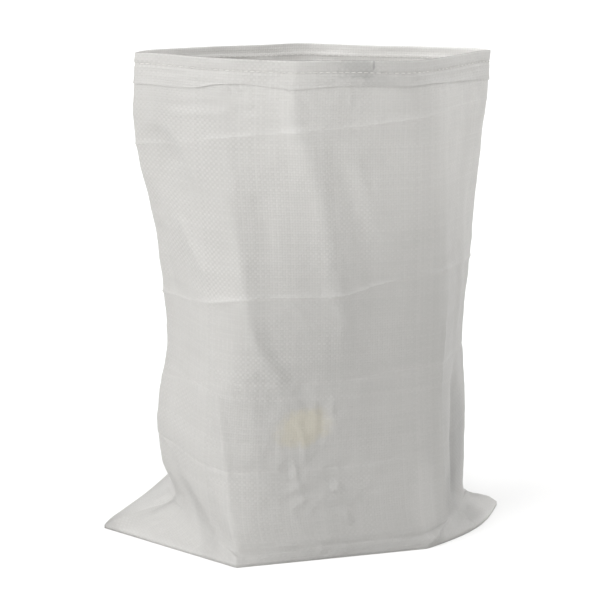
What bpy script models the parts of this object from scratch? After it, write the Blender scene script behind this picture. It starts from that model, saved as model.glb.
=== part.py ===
# Open woven polypropylene sack for cement, sand or rubble, standing empty with its mouth open.
#
# One flat tube of cloth is sewn across the bottom and hemmed round the mouth. Opened out and
# stood up, its bottom folds into a rectangle, and each bottom corner into a flat triangular ear.
# Metres, +Z up. X runs along the bottom seam, from ear to ear, and -Y is the front.

import bmesh
import bpy
import numpy as np

# Cloth, as the sack lies flat
FLAT_WIDTH = 0.500
FLAT_LENGTH = 0.740
WALL = 0.0012

# Base that the bottom folds into. Its corners lie this far round the cloth from each side fold,
# and so this far in front of the seam or behind it.
LEFT_FOLD = 0.127
RIGHT_FOLD = 0.130
BASE_LEFT = -(FLAT_WIDTH / 2 - LEFT_FOLD)
BASE_RIGHT = FLAT_WIDTH / 2 - RIGHT_FOLD

# Mouth: highest at the left side fold
MOUTH_HEIGHT = FLAT_LENGTH - LEFT_FOLD
RIGHT_RIM_DROP = 0.009
BACK_RIM_DROP = 0.010        # the back wall slumps more than the front

# Ears, from the side of the base to the tip
LEFT_EAR = 0.120
RIGHT_EAR = 0.142
LEFT_EAR_SWEEP = 0.060       # how far back the tip is dragged
RIGHT_EAR_SWEEP = 0.001
RIGHT_EAR_BOW = 0.018        # its front edge bows outwards
EAR_LIP = 0.004              # the two layers of cloth and the air between them, at the edge
ROOT_HEIGHT = 0.012          # where the wall rises out of the ear or the base
LEFT_CORNER_LIFT = 0.052     # the back corners of the base curl off the floor
RIGHT_CORNER_LIFT = 0.024
LIFT_START = 0.025           # this far from the middle of the base
LEFT_TIP_CURVE = 0.8         # near its tip, the left ear's back edge rises at once

# Bottom seam, folded flat under the base
SEAM_WIDTH = 0.025
SEAM_UNDERSIDE = 0.0012
SEAM_TOP = 0.0028
SEAM_SHARE = 0.86            # of each ear's length
SEAM_STATIONS = 6            # along the base
BASE_RECESS = 0.002          # the base stands this far off the floor along its seam
RECESS_REACH = 0.060         # and comes down to the floor this far either side of it
RECESS_SLOPE = 0.030

# Mouth hem and the two lines of stitching
HEM_HEIGHT = 0.036
HEM_EXTRA = 0.0005           # the hem stands proud of the wall
MOUTH_STITCH_DEPTH = 0.0165  # below the rim
MOUTH_THREAD = 0.0010        # diameter
BOTTOM_THREAD = 0.0006
THREAD_GAP = 0.0003          # between the bottom thread and the seam
MOUTH_THREAD_GAP = 0.00045   # between the mouth thread and the mean surface of the hem
THREAD_INSET = 0.003         # of the bottom thread's ends from the seam's ends

# Horizontal sections of the body. Each row is a height and eight ridge points, in this order:
# left side fold, front left, front middle, front right,
# right side fold, back right, back middle, back left.
SECTIONS = (
    (0.025, ((-0.130, 0.004), (-0.123, -0.123), (0.010, -0.127), (0.136, -0.126),
             (0.192, -0.012), (0.136, 0.112), (0.006, 0.122), (-0.132, 0.122))),
    (0.050, ((-0.166, 0.006), (-0.128, -0.117), (0.012, -0.124), (0.143, -0.118),
             (0.207, -0.016), (0.142, 0.104), (0.004, 0.120), (-0.134, 0.116))),
    (0.110, ((-0.180, 0.006), (-0.134, -0.108), (0.016, -0.122), (0.144, -0.113),
             (0.212, -0.020), (0.147, 0.090), (0.000, 0.118), (-0.132, 0.104))),
    (0.250, ((-0.176, 0.004), (-0.132, -0.102), (0.014, -0.130), (0.138, -0.120),
             (0.203, -0.028), (0.146, 0.078), (0.004, 0.116), (-0.124, 0.098))),
    (0.400, ((-0.188, 0.002), (-0.126, -0.098), (-0.010, -0.130), (0.132, -0.128),
             (0.206, -0.040), (0.148, 0.050), (0.016, 0.112), (-0.116, 0.082))),
    (0.520, ((-0.210, 0.000), (-0.130, -0.084), (-0.038, -0.128), (0.115, -0.136),
             (0.214, -0.048), (0.150, 0.030), (0.024, 0.100), (-0.112, 0.064))),
    (0.613, ((-0.206, 0.002), (-0.128, -0.076), (-0.046, -0.125), (0.100, -0.140),
             (0.221, -0.050), (0.150, 0.024), (0.028, 0.094), (-0.100, 0.058))),
)
POINTS_AROUND = 72
BODY_HEIGHTS = (0.036, 0.050, 0.075, 0.110, 0.155, 0.200, 0.250, 0.300, 0.350, 0.400, 0.460, 0.520, 0.570)
BASE_ROWS = (0.0, 0.15, 0.30, 0.42, 0.58, 0.70, 0.85, 1.0)

HALF = POINTS_AROUND // 2


def ridge_points(height):
    # The eight ridge points at any height, on smooth curves through the sections
    heights = np.array([row[0] for row in SECTIONS])
    points = np.array([row[1] for row in SECTIONS])
    slopes = np.gradient(points, heights, axis=0)
    low = int(np.clip(np.searchsorted(heights, height) - 1, 0, len(heights) - 2))
    step = heights[low + 1] - heights[low]
    t = np.clip((height - heights[low]) / step, 0.0, 1.0)
    start_weight = 2 * t**3 - 3 * t**2 + 1
    return (start_weight * points[low] + (1 - start_weight) * points[low + 1]
            + (t**3 - 2 * t**2 + t) * step * slopes[low] + (t**3 - t**2) * step * slopes[low + 1])


def even_steps(corners, count):
    # Points at equal distances along straight runs, without the last corner
    lengths = np.linalg.norm(np.diff(corners, axis=0), axis=1)
    travelled = np.concatenate(([0.0], np.cumsum(lengths)))
    stops = np.arange(count) * travelled[-1] / count
    return np.column_stack([np.interp(stops, travelled, corners[:, axis]) for axis in (0, 1)])


def section(height):
    # One turn of cloth from the left side fold, over the front, with its ridges rounded
    ridges = ridge_points(height)
    front = even_steps(ridges[:5], HALF)
    back = even_steps(np.vstack((ridges[4:], ridges[:1])), HALF)
    sharp = np.vstack((front, back))
    soft = (np.roll(sharp, 1, axis=0) + 2 * sharp + np.roll(sharp, -1, axis=0)) / 4
    soft[[0, HALF]] = sharp[[0, HALF]]
    return soft


def outward(ring):
    # Unit directions pointing out of a section, at each of its points
    along = np.roll(ring, -1, axis=0) - np.roll(ring, 1, axis=0)
    across = np.column_stack((along[:, 1], -along[:, 0]))
    return across / np.linalg.norm(across, axis=1)[:, None]


def seam_line(x):
    # How far back the bottom seam lies at x: it bends away from the base towards each ear tip
    past_left = np.clip((BASE_LEFT - x) / LEFT_EAR, 0.0, 1.0)
    past_right = np.clip((x - BASE_RIGHT) / RIGHT_EAR, 0.0, 1.0)
    return LEFT_EAR_SWEEP * past_left + RIGHT_EAR_SWEEP * past_right


def fold_outline():
    # Edge of the base and of both ears, where the cloth turns under, as if not swept back
    base_length = FLAT_WIDTH - LEFT_FOLD - RIGHT_FOLD
    outline = []
    for index in range(POINTS_AROUND):
        from_left = FLAT_WIDTH * (1 - abs(1 - index / HALF))
        from_right = FLAT_WIDTH - from_left
        side = -1.0 if index <= HALF else 1.0
        if from_left < LEFT_FOLD:
            x, y = BASE_LEFT - LEFT_EAR * (1 - from_left / LEFT_FOLD), from_left
        elif from_right < RIGHT_FOLD:
            bow = RIGHT_EAR_BOW * np.sin(np.pi * from_right / RIGHT_FOLD) * (side < 0)
            x = BASE_RIGHT + RIGHT_EAR * (1 - from_right / RIGHT_FOLD) + bow * np.sqrt(0.5)
            y = from_right + bow * np.sqrt(0.5)
        else:
            x = BASE_LEFT + from_left - LEFT_FOLD
            y = LEFT_FOLD + (RIGHT_FOLD - LEFT_FOLD) * (from_left - LEFT_FOLD) / base_length
        outline.append((x, side * y))
    return np.array(outline)


def underside(points):
    # Height of the base's underside over the floor, at points that aren't swept back
    x, y = points[:, 0], points[:, 1]
    recess = BASE_RECESS * np.clip((RECESS_REACH - np.abs(y)) / RECESS_SLOPE, 0.0, 1.0)
    towards_back = np.clip((y - LIFT_START) / (LEFT_FOLD - LIFT_START), 0.0, 1.0)
    towards_left = np.clip((-x - LIFT_START) / (-BASE_LEFT - LIFT_START), 0.0, 1.0)
    towards_right = np.clip((x - LIFT_START) / (BASE_RIGHT - LIFT_START), 0.0, 1.0)
    lift = LEFT_CORNER_LIFT * towards_left + RIGHT_CORNER_LIFT * towards_right
    past_left = np.clip((BASE_LEFT - x) / LEFT_EAR, 0.0, 1.0)
    near_tip = np.clip(y / LEFT_FOLD, 0.0, 1.0) ** LEFT_TIP_CURVE
    return recess + lift * (towards_back * (1 - past_left) + near_tip * past_left)


def swept(points):
    # The same points with the ears dragged back
    return np.column_stack((points[:, 0], points[:, 1] + seam_line(points[:, 0])))


def with_height(plan, heights):
    return np.column_stack((plan, heights))


def rim_heights():
    around = np.arange(POINTS_AROUND) / POINTS_AROUND
    towards_right = (1 - np.cos(2 * np.pi * around)) / 2
    towards_back = np.clip(-np.sin(2 * np.pi * around), 0.0, 1.0)
    return MOUTH_HEIGHT - RIGHT_RIM_DROP * towards_right - BACK_RIM_DROP * towards_back


def wall_ring(height, offset):
    # One turn of the wall at a nominal height, moved outwards by offset
    plan = section(height)
    root = underside(section(SECTIONS[0][0])) + ROOT_HEIGHT
    share = (height - SECTIONS[0][0]) / (MOUTH_HEIGHT - SECTIONS[0][0])
    heights = root + (rim_heights() - root) * share
    return with_height(plan + offset * outward(plan), heights)


def hem_ring(below_rim, offset):
    return wall_ring(MOUTH_HEIGHT - below_rim, HEM_EXTRA + offset)


def add_ring(mesh, points):
    return [mesh.verts.new(point) for point in points]


def join_rings(mesh, lower, upper):
    # Faces between two turns, facing away from the middle where lower lies under upper
    for index in range(POINTS_AROUND):
        after = (index + 1) % POINTS_AROUND
        mesh.faces.new((lower[index], lower[after], upper[after], upper[index]))


def fill_across(mesh, ring, height_of, facing_down):
    # Closes a ring with strips that run from its front half to its back half
    columns = [[ring[0]] * len(BASE_ROWS)]
    for index in range(1, HALF):
        front, back = ring[index], ring[POINTS_AROUND - index]
        column = [front]
        for share in BASE_ROWS[1:-1]:
            point = np.array(front.co.lerp(back.co, share))
            point[2] = height_of(point)
            column.append(mesh.verts.new(point))
        columns.append(column + [back])
    columns.append([ring[HALF]] * len(BASE_ROWS))
    for left, right in zip(columns, columns[1:]):
        for row in range(len(BASE_ROWS) - 1):
            corners = [left[row], left[row + 1], right[row + 1], right[row]]
            corners = list(dict.fromkeys(corners))
            mesh.faces.new(corners if facing_down else corners[::-1])


def make_material(name, colour, roughness):
    material = bpy.data.materials.new(name)
    material.use_nodes = True
    shader = material.node_tree.nodes["Principled BSDF"]
    shader.inputs["Base Color"].default_value = (*colour, 1.0)
    shader.inputs["Roughness"].default_value = roughness
    shader.inputs["Metallic"].default_value = 0.0
    return material


def add_object(name, data, material):
    piece = bpy.data.objects.new(name, data)
    data.materials.append(material)
    bpy.context.collection.objects.link(piece)
    return piece


def make_cloth_mesh():
    # The sack without its seam: outside from the floor up, over the rim, and down the inside
    mesh = bmesh.new()
    outline = fold_outline()
    bottom = underside(outline)
    edge = add_ring(mesh, with_height(swept(outline), bottom))
    lip = add_ring(mesh, with_height(swept(outline), bottom + EAR_LIP))
    root = add_ring(mesh, wall_ring(SECTIONS[0][0], 0.0))
    outside = [edge, lip, root]
    outside += [add_ring(mesh, wall_ring(height, 0.0)) for height in BODY_HEIGHTS]
    outside.append(add_ring(mesh, hem_ring(HEM_HEIGHT, -HEM_EXTRA)))
    outside.append(add_ring(mesh, hem_ring(HEM_HEIGHT - HEM_EXTRA, 0.0)))
    outside.append(add_ring(mesh, hem_ring(0.0, 0.0)))

    inside = [add_ring(mesh, wall_ring(MOUTH_HEIGHT, -WALL))]
    inside += [add_ring(mesh, wall_ring(height, -WALL)) for height in reversed(BODY_HEIGHTS)]
    inside.append(add_ring(mesh, wall_ring(SECTIONS[0][0], -WALL) + (0.0, 0.0, WALL)))
    floor_plan = wall_ring(SECTIONS[0][0], -3 * WALL)[:, :2]
    inside.append(add_ring(mesh, with_height(floor_plan, underside(floor_plan) + BASE_RECESS + WALL)))

    for lower, upper in zip(outside, outside[1:]):
        join_rings(mesh, lower, upper)
    join_rings(mesh, outside[-1], inside[0])
    for upper, lower in zip(inside, inside[1:]):
        join_rings(mesh, upper, lower)

    def outer_height(point):
        flat = np.array([[point[0], point[1] - seam_line(point[0])]])
        return float(underside(flat)[0])

    def inner_height(point):
        return float(underside(np.array([point[:2]]))[0]) + BASE_RECESS + WALL

    fill_across(mesh, edge, outer_height, True)
    fill_across(mesh, inside[-1], inner_height, False)
    bmesh.ops.recalc_face_normals(mesh, faces=mesh.faces)
    data = bpy.data.meshes.new("woven_sack")
    mesh.to_mesh(data)
    mesh.free()
    return data


def seam_stations():
    # Where the seam strip runs along X, to just short of each ear tip
    left_end = BASE_LEFT - SEAM_SHARE * LEFT_EAR
    right_end = BASE_RIGHT + SEAM_SHARE * RIGHT_EAR
    return np.concatenate(([left_end], np.linspace(BASE_LEFT, BASE_RIGHT, SEAM_STATIONS), [right_end]))


def make_seam_mesh():
    # The folded and sewn bottom edge, as a flat strip that is joined to the base
    mesh = bmesh.new()
    previous = None
    for x in seam_stations():
        middle = float(seam_line(x))
        front, back = middle - SEAM_WIDTH / 2, middle + SEAM_WIDTH / 2
        corners = ((x, front, SEAM_UNDERSIDE), (x, back, SEAM_UNDERSIDE),
                   (x, back, SEAM_TOP), (x, front, SEAM_TOP))
        ring = [mesh.verts.new(corner) for corner in corners]
        if previous is None:
            mesh.faces.new(ring)
        else:
            for index in range(4):
                after = (index + 1) % 4
                mesh.faces.new((previous[index], previous[after], ring[after], ring[index]))
        previous = ring
    mesh.faces.new(previous[::-1])
    bmesh.ops.recalc_face_normals(mesh, faces=mesh.faces)
    data = bpy.data.meshes.new("bottom_seam")
    mesh.to_mesh(data)
    mesh.free()
    return data


def make_woven_sack(cloth):
    sack = add_object("woven_sack", make_cloth_mesh(), cloth)
    seam = add_object("bottom_seam_guide", make_seam_mesh(), cloth)
    seam.hide_render = True
    seam.display_type = "WIRE"
    join = sack.modifiers.new("bottom seam", "BOOLEAN")
    join.operation = "UNION"
    join.object = seam
    return sack


def make_thread(name, points, closed, diameter, thread):
    curve = bpy.data.curves.new(name, "CURVE")
    curve.dimensions = "3D"
    curve.bevel_depth = diameter / 2
    curve.bevel_resolution = 2
    curve.use_fill_caps = True
    spline = curve.splines.new("POLY")
    spline.points.add(len(points) - 1)
    for place, point in zip(spline.points, points):
        place.co = (*point, 1.0)
    spline.use_cyclic_u = closed
    return add_object(name, curve, thread)


def make_mouth_stitching(thread):
    clear = MOUTH_THREAD_GAP + MOUTH_THREAD / 2
    share = MOUTH_STITCH_DEPTH / (HEM_HEIGHT - HEM_EXTRA)
    ring = (1 - share) * hem_ring(0.0, clear) + share * hem_ring(HEM_HEIGHT - HEM_EXTRA, clear)
    return make_thread("mouth_stitching", ring, True, MOUTH_THREAD, thread)


def make_bottom_stitching(thread):
    height = SEAM_UNDERSIDE - THREAD_GAP - BOTTOM_THREAD / 2
    stations = seam_stations()
    stations[0] += THREAD_INSET
    stations[-1] -= THREAD_INSET
    points = [(x, float(seam_line(x)), height) for x in stations]
    return make_thread("bottom_stitching", points, False, BOTTOM_THREAD, thread)


def centre_on_floor(pieces):
    # Puts the origin on the floor, under the middle of the whole sack
    bpy.context.view_layer.update()
    graph = bpy.context.evaluated_depsgraph_get()
    corners = []
    for piece in pieces:
        shape = piece.evaluated_get(graph).to_mesh()
        corners += [tuple(vertex.co) for vertex in shape.vertices]
        piece.evaluated_get(graph).to_mesh_clear()
    corners = np.array(corners)
    middle = (corners.min(axis=0) + corners.max(axis=0)) / 2
    for piece in bpy.data.objects:
        piece.location = (-middle[0], -middle[1], 0.0)


for leftover in list(bpy.data.objects):
    bpy.data.objects.remove(leftover, do_unlink=True)

woven_cloth = make_material("woven_polypropylene", (0.66, 0.65, 0.63), 0.45)
sewing_thread = make_material("sewing_thread", (0.62, 0.61, 0.58), 0.6)
centre_on_floor([
    make_woven_sack(woven_cloth),
    make_mouth_stitching(sewing_thread),
    make_bottom_stitching(sewing_thread),
])
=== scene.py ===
# Looks of an open woven sack: one tube of cloth with its folds, creases, hem, ears and stitches
from math import cos, pi, radians, sin

import bpy
import numpy as np
from mathutils import Matrix, Vector, noise


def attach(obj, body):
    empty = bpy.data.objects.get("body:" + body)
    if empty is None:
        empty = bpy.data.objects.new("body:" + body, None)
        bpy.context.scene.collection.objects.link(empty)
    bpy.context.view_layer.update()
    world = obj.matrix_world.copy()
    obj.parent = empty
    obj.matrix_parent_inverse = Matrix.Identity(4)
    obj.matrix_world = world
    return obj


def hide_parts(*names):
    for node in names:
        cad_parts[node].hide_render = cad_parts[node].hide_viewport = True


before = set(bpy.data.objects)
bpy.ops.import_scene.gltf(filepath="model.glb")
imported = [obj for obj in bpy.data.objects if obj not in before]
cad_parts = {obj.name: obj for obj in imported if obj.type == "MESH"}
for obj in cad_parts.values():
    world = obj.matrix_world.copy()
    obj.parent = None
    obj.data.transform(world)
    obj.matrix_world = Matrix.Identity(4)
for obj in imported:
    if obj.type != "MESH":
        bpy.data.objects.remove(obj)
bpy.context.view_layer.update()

bpy.ops.object.select_all(action="DESELECT")

# The photo's view. Everything is modelled with its origin under the middle of the seam line,
# and moved at the end to the part's own origin
shotValues = {
    "turn": -17.0,               # degrees round the sack
    "rise": 14.4,                # degrees above the floor
    "distance": 3.20,
    "focalPixels": 2590.0,
    "frameSize": 600,
    "aimRight": -0.004,
    "aimHeight": 0.293,
    "sensor": 36.0,
    "farEnd": 100.0,             # the camera sees this far
    "originShift": (-0.0095, 0.0047, 0.0),
}

sackValues = {
    "columns": 352,              # round the cloth, an even number
    "rimStep": 0.0016,           # rows are this close in the hem
    "rimReach": 0.046,
    "looseRows": 210,            # of the plain wall, before rows are laid along the creases
    "rowsBetween": (14, 58, 33, 28, 33),     # from the hem, crease by crease, to the ears
    "creaseRows": (0.0034, 0.0016),          # rows this far above and below each crease
    "earRows": 20,
    "baseRows": 15,
    "hemRows": 22,
    "flatWidth": 0.500,          # the sack lying flat
    "flatLength": 0.740,
    "leftFold": 0.127,           # from each side fold to the base's corner, along the cloth
    "rightFold": 0.130,
    "rightRimDrop": 0.009,
    "backRimDrop": 0.010,
    "leftEar": 0.120,
    "rightEar": 0.142,
    "leftSweep": 0.060,
    "rightSweep": 0.001,
    "rightBow": 0.018,
    "earLip": 0.004,
    "rootHeight": 0.012,
    "leftCornerLift": 0.052,
    "rightCornerLift": 0.024,
    "liftStart": 0.025,
    "leftTipCurve": 0.8,
    "recess": 0.0032,            # the base rides over the bottom seam
    "recessReach": 0.060,
    "recessSlope": 0.030,
    "recessEdge": 0.010,         # but the ears' edges come down to the floor
    "recessLeast": 0.12,
    "frontRimRise": (0.0035, 0.25, 0.09),    # height, middle and reach round the cloth
    "sideRimDrop": (0.0040, 0.0045),         # the rim is rounded off at the side folds
    "hemHeight": 0.036,
    "hemGap": 0.0005,            # between the hem's two layers
    "hemFold": 0.0022,           # where the hem turns over at the rim
    "hemLift": 0.0010,           # more at its free edge
    "hemWrinkle": (22.0, 150.0, 0.0007),     # how many round and down, to the metre, and how high
    "hemWrinkleEnd": (0.008, 0.014),         # they fade from this far above the hem's depth, over this
    "hemEven": 12,               # passes that smooth its free edge
    "hemFlutter": (4.0, 1.6, 0.006),         # waves of the free edge: how many, how strong, how far up
    "stitchPull": 0.6,           # how far the stitches close the hem
    "stitchDepth": 0.0145,       # below the rim
    "stitchGroove": 0.0007,
    "stitchGrooveWidth": 0.0022,
    "cornerSoftening": 50,       # passes that round the ridges between the facets
    "sideKeep": (0.006, 0.88),   # how near the side folds, and how much, the rounding is held off
    "cornerKeep": (0.014, 0.75), # the same at the front left corner, low down
    "cornerKeepDown": 0.46,      # and how far down the cloth that starts
    "rimKeep": (0.010, 0.90),    # the same at the front's middle ridge, by the rim
    "rimRidge": 0.2055,          # where that ridge is, round the cloth
    "rimKeepDown": 0.18,         # and how far down the cloth that ends
    "keepFade": 0.10,            # over which all these come and go
    "softAbove": 0.15,           # of the rounding of a soft ridge is there above its start
    "softRidges": (              # ridges that fade out: place, width and passes, from and to how far down
        (0.335, 0.055, 220, 0.02, 0.80), (0.127, 0.045, 160, 0.16, 0.50)),
    "leftRootRise": 0.030,       # the wall turns out into an ear this much higher at the side fold
    "rightRootRise": 0.010,
    "rootRiseReach": 0.075,
    "earPuff": 0.006,            # air in the ears
    "rootBlend": (20, 18, 220),  # rows above and below the root that are smoothed, and passes
    "rootHold": (0.012, 0.7),    # but less this near the side folds
    "rootPull": (1.6, 0.25),     # how strongly, and in full from this share of an ear's length
    "puffFrom": 0.35,            # the air is at its full height from this share
    "calmRim": (0.35, 0.06),     # of the relief is left at the rim, growing over this much
    "earFade": 0.4,              # of the ears' rows, over which the relief ends before their edge
}

# How deep the hem is, round the front from the left side fold, and then round the back
hemDepths = ((0.000, 0.039), (0.060, 0.040), (0.090, 0.037), (0.112, 0.031), (0.142, 0.029), (0.170, 0.031),
             (0.202, 0.034), (0.260, 0.030), (0.324, 0.030), (0.375, 0.029), (0.430, 0.032), (0.500, 0.038),
             (0.570, 0.035), (0.640, 0.032), (0.720, 0.036), (0.800, 0.033), (0.880, 0.035), (1.000, 0.039))

# Level sections of the body: a height, then the left side fold, front left, front middle,
# front right, right side fold, back right, back middle and back left
sackSections = (
    (0.025, ((-0.150, 0.004), (-0.123, -0.123), (0.010, -0.127), (0.136, -0.126),
             (0.206, -0.012), (0.136, 0.112), (0.006, 0.122), (-0.132, 0.122))),
    (0.050, ((-0.170, 0.006), (-0.127, -0.120), (0.012, -0.1255), (0.140, -0.1225),
             (0.2110, -0.016), (0.142, 0.104), (0.004, 0.120), (-0.134, 0.116))),
    (0.110, ((-0.185, 0.006), (-0.133, -0.110), (0.016, -0.1235), (0.143, -0.117),
             (0.212, -0.020), (0.147, 0.090), (0.000, 0.118), (-0.132, 0.104))),
    (0.250, ((-0.175, 0.004), (-0.132, -0.102), (0.014, -0.130), (0.138, -0.120),
             (0.203, -0.028), (0.146, 0.078), (0.004, 0.116), (-0.124, 0.098))),
    (0.400, ((-0.191, 0.002), (-0.126, -0.098), (-0.010, -0.130), (0.132, -0.128),
             (0.209, -0.040), (0.148, 0.050), (0.016, 0.112), (-0.116, 0.082))),
    (0.520, ((-0.2155, 0.000), (-0.130, -0.084), (-0.038, -0.128), (0.115, -0.136),
             (0.2185, -0.048), (0.150, 0.030), (0.024, 0.100), (-0.112, 0.064))),
    (0.613, ((-0.2120, 0.002), (-0.128, -0.076), (-0.046, -0.125), (0.088, -0.140),
             (0.2255, -0.050), (0.150, 0.024), (0.028, 0.094), (-0.100, 0.058))),
)

# Creases from when the sack lay folded flat. They are on the front and, the same way, on the back.
# Places are round the cloth from the left side fold and down it from the rim, in metres.
# Half width and height are in millimetres, and up is outwards
storageCreases = {
    "high": (((0.000, 0.116), (0.062, 0.109), (0.108, 0.096), (0.188, 0.086), (0.270, 0.079),
              (0.315, 0.073), (0.361, 0.068), (0.430, 0.063), (0.500, 0.061)), 3.0, 1.9),
    "middle": (((0.000, 0.312), (0.054, 0.306), (0.142, 0.287), (0.244, 0.283), (0.281, 0.278),
                (0.335, 0.266), (0.406, 0.262), (0.500, 0.268)), 3.0, 2.2),
    "low": (((0.000, 0.424), (0.045, 0.414), (0.111, 0.392), (0.190, 0.392), (0.270, 0.389),
             (0.335, 0.382), (0.420, 0.384), (0.500, 0.388)), 2.6, -0.9),
    "bottom": (((0.000, 0.505), (0.090, 0.503), (0.168, 0.500), (0.247, 0.499), (0.298, 0.498),
                (0.366, 0.491), (0.500, 0.486)), 2.8, -0.9),
}

# Soft folds that the photo shows: pixels, half width and height in millimetres
frontFolds = {
    "ridge": (((297, 62), (292, 84), (289, 105), (297, 130), (308, 152), (314, 176), (321, 203),
               (327, 234), (332, 264), (339, 294), (345, 324), (348, 358), (349, 380)), 13.0, 4.0),
    "ridgeValley": (((322, 122), (337, 150), (344, 176), (354, 203), (362, 232), (368, 270),
                     (373, 310), (376, 350)), 15.0, -2.8),
    "rightRidge": (((342, 138), (354, 172), (369, 205), (388, 250)), 11.0, 2.2),
    "leftHollow": (((262, 170), (262, 220), (268, 270), (276, 320)), 18.0, -3.0),
    "leftRidge": (((222, 180), (236, 230), (243, 280), (250, 325), (263, 360), (279, 381), (291, 410)),
                  10.0, 3.2),
    "leftRidgeValley": (((262, 316), (272, 346), (289, 370), (302, 384), (309, 410)), 10.0, -2.6),
    "cornerRidge": (((212, 372), (221, 425), (228, 480), (237, 552)), 8.0, 3.0),
    "leftEarDent": (((152, 512), (160, 505), (170, 498)), 3.0, -0.5),
    "upperLeftHollow": (((150, 124), (164, 146), (176, 170)), 12.0, -3.4),
    "upperLeftRidge": (((160, 118), (176, 138), (190, 164), (196, 190)), 7.0, 2.2),
    "leftSideRidge": (((172, 200), (186, 232), (200, 262), (212, 292)), 8.0, 2.4),
    "leftSideHollow": (((160, 216), (168, 256), (176, 300)), 10.0, -2.6),
    "rightSideCrease": (((450, 262), (444, 330), (441, 380), (441, 430), (443, 470), (446, 512)), 4.0, 1.8),
    "rightSideHollow": (((455, 350), (454, 390), (453, 430), (454, 470), (456, 508)), 10.0, -5.0),
    "rightCrease": (((430, 273), (444, 266), (456, 254), (466, 243)), 2.5, -1.5),
    "rightLowRidge": (((430, 398), (424, 440), (420, 480), (424, 516)), 10.0, 1.4),
    "rightLowValley": (((438, 410), (434, 450), (433, 490), (436, 520)), 5.0, -1.2),
    "bottomGroove": (((244, 555), (290, 550), (345, 543), (400, 537), (426, 534)), 1.8, -1.7),
    "lowCreaseOne": (((292, 462), (298, 482), (306, 510)), 4.0, 2.2),
    "lowCreaseTwo": (((318, 398), (322, 420), (318, 446), (308, 470)), 4.5, -2.2),
    "lowCreaseThree": (((336, 392), (332, 412), (338, 438)), 4.0, 2.0),
    "lowCreaseFour": (((300, 396), (310, 412), (326, 418), (346, 408)), 4.0, -1.9),
    "lowCreaseFive": (((296, 420), (304, 444), (302, 470)), 4.0, 1.9),
    "lowBlobOne": (((330, 490), (342, 486)), 6.5, 2.6),
    "lowBlobTwo": (((345, 508), (350, 525)), 5.0, 2.2),
    "topLeftFold": (((158, 105), (182, 105), (206, 104), (232, 107)), 4.0, -1.6),
    "topLeftRidge": (((160, 113), (184, 113), (206, 112), (236, 114)), 4.0, 1.5),
    "topLeftDent": (((236, 104), (246, 112), (262, 106)), 4.0, -1.2),
    "hemDent": (((350, 82), (350, 96), (351, 112)), 3.0, 1.4),
    "hemWrinkleOne": (((226, 86), (232, 90), (234, 98)), 2.0, -1.4),
    "hemWrinkleTwo": (((234, 84), (241, 89), (244, 97)), 2.0, -1.4),
    "leftEarValley": (((200, 466), (204, 482), (207, 496), (212, 510), (218, 525), (224, 537), (229, 550)),
                      13.0, -1.6),
    "leftEarFold": (((150, 514), (156, 508), (166, 502)), 2.5, -0.7),
    "leftEarPuckerOne": (((150, 518), (157, 517), (164, 516)), 2.0, -0.9),
    "leftEarPuckerTwo": (((150, 526), (157, 524), (164, 524)), 2.0, -0.9),
    "leftEarRidge": (((179, 474), (185, 493), (190, 509), (197, 525), (205, 538), (212, 552)), 14.0, 1.4),
    "rightEarRidge": (((454, 500), (460, 512), (468, 526)), 3.5, 1.8),
    "rightEarHollow": (((466, 500), (472, 508), (478, 517)), 7.0, -1.0),
}

# Soft folds that the photo doesn't show, placed like the storage creases
hiddenFolds = {
    "rightSideRidge": (((0.470, 0.060), (0.455, 0.180), (0.462, 0.300), (0.448, 0.420)), 11.0, 1.8),
    "backRightHollow": (((0.560, 0.110), (0.566, 0.220), (0.578, 0.340), (0.574, 0.460)), 15.0, -2.4),
    "backRightRidge": (((0.612, 0.060), (0.618, 0.180), (0.604, 0.300), (0.610, 0.440),
                        (0.622, 0.560)), 10.0, 2.0),
    "backMiddleHollow": (((0.690, 0.150), (0.700, 0.260), (0.688, 0.380)), 18.0, -2.2),
    "backMiddleRidge": (((0.745, 0.050), (0.752, 0.160), (0.740, 0.290), (0.752, 0.400)), 12.0, 2.2),
    "backLowRidge": (((0.700, 0.420), (0.716, 0.490), (0.704, 0.560)), 9.0, 1.8),
    "backLowHollow": (((0.770, 0.430), (0.760, 0.500), (0.772, 0.570)), 10.0, -1.8),
    "backLeftHollow": (((0.830, 0.100), (0.824, 0.220), (0.836, 0.340)), 13.0, -2.0),
    "backLeftRidge": (((0.872, 0.120), (0.880, 0.250), (0.870, 0.380), (0.878, 0.520)), 9.0, 2.0),
    "leftSideHollow": (((0.940, 0.160), (0.946, 0.290), (0.936, 0.420)), 12.0, -2.0),
}


# The camera
def viewAxes(values):
    # The ways from the sack towards the camera, and to the right in the picture
    turn, rise = radians(values["turn"]), radians(values["rise"])
    back = np.array((sin(turn) * cos(rise), -cos(turn) * cos(rise), sin(rise)))
    return back, np.array((cos(turn), sin(turn), 0.0))


def cameraPlace(values):
    back, right = viewAxes(values)
    return right * values["aimRight"] + np.array((0.0, 0.0, values["aimHeight"])) + back * values["distance"]


def addCamera(values):
    turn, rise = radians(values["turn"]), radians(values["rise"])
    place = cameraPlace(values) + np.array(values["originShift"])
    bpy.ops.object.camera_add(location=tuple(place), rotation=(pi / 2 - rise, 0.0, turn))
    camera = bpy.context.object
    camera.name = "photoCamera"
    camera.data.sensor_width = values["sensor"]
    camera.data.lens = values["focalPixels"] * values["sensor"] / values["frameSize"]
    camera.data.clip_end = values["farEnd"]
    bpy.context.scene.camera = camera


def photoPixels(points, values):
    # Where points of the model fall in the photo
    back, right = viewAxes(values)
    away = points - cameraPlace(values)
    scale = values["focalPixels"] / -(away @ back)
    middle = values["frameSize"] / 2
    return middle + (away @ right) * scale, middle - (away @ np.cross(back, right)) * scale


# Each kind of unevenness reads its own slice of the noise, so that no two look alike
noiseSlices = {"crease": 0.5, "hem": 2.0, "hemEdge": 3.0, "strip": 1.7}


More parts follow.
